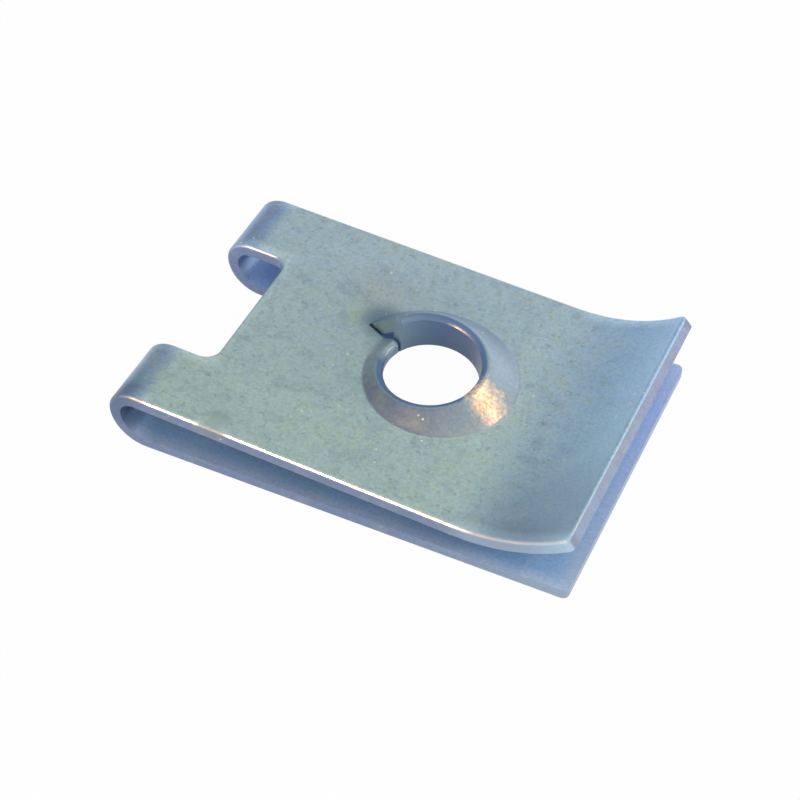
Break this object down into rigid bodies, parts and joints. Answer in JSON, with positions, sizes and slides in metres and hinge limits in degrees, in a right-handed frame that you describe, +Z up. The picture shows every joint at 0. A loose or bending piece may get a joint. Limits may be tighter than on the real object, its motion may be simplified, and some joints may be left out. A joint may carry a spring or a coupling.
{
  "type": "u clip speed nut",
  "caption": "Folded spring-steel clip nut with a formed helical screw lip in the upper leaf, a clearance hole in the lower leaf, a window through the fold and a flared lead-in end.",
  "frame": {"origin": "middle of the lower leaf's clearance hole, on the flat underside", "axes": "+X along the strip from the fold to the open flared end, +Y across the strip, +Z up from the underside to the leaf with the screw lip"},
  "size_m": [0.018, 0.012, 0.0035],
  "materials": {
    "zinc_plated_spring_steel": "satin zinc plate with clear blue passivation"
  },
  "bodies": {
    "root": {"u_clip": "zinc_plated_spring_steel"}
  },
  "joints": []
}
